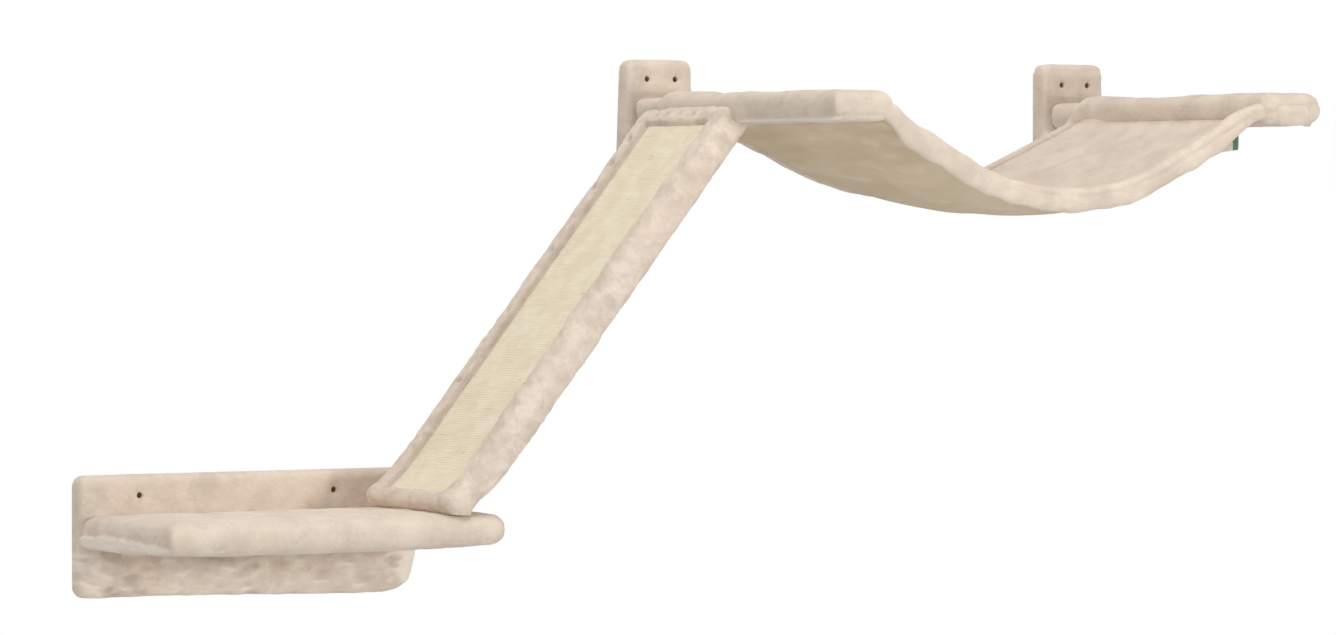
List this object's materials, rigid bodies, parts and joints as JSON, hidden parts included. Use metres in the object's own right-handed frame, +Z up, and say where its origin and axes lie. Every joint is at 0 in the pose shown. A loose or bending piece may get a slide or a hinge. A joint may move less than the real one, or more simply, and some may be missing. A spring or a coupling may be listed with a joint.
{
  "type": "cat climbing wall",
  "caption": "Wall-mounted cat climber: a plush shelf, a sloping ramp with a sisal mat, and a fabric hammock hung between two padded arms.",
  "frame": {"origin": "on the wall's face, midway between the two wall-screw holes of the shelf's backboard", "axes": "+X to the right along the wall as seen from the room, +Y into the wall, +Z up"},
  "size_m": [1.317, 0.4128, 0.565],
  "materials": {
    "plush": "short beige plush pile",
    "lining": "plain tan woven lining",
    "sisal": "ribbed woven sisal",
    "chipboard": "raw pressed chipboard",
    "steel": "zinc plated",
    "tag": "plain woven tape"
  },
  "bodies": {
    "root": {"shelf_backboard_cover": "plush", "shelf_board_cover": "plush", "left_wall_plate_cover": "plush", "left_arm_cover": "plush", "hammock_left_sleeve": "plush", "right_wall_plate_cover": "plush", "right_arm_cover": "plush", "hammock_right_sleeve": "plush", "hammock_sling": "plush", "hammock_front_hem": "plush", "hammock_rear_hem": "plush", "ramp_cover": "plush", "shelf_backboard": "chipboard", "shelf_board": "chipboard", "left_wall_plate": "chipboard", "left_arm": "chipboard", "right_wall_plate": "chipboard", "right_arm": "chipboard", "ramp_board": "chipboard", "shelf_joint_screws": "steel", "left_arm_joint_screws": "steel", "right_arm_joint_screws": "steel", "ramp_head_strap": "steel", "ramp_head_screws": "steel", "ramp_foot_screws": "steel", "hammock_lining": "lining", "ramp_sisal_mat": "sisal", "hammock_tag": "tag"}
  },
  "joints": []
}
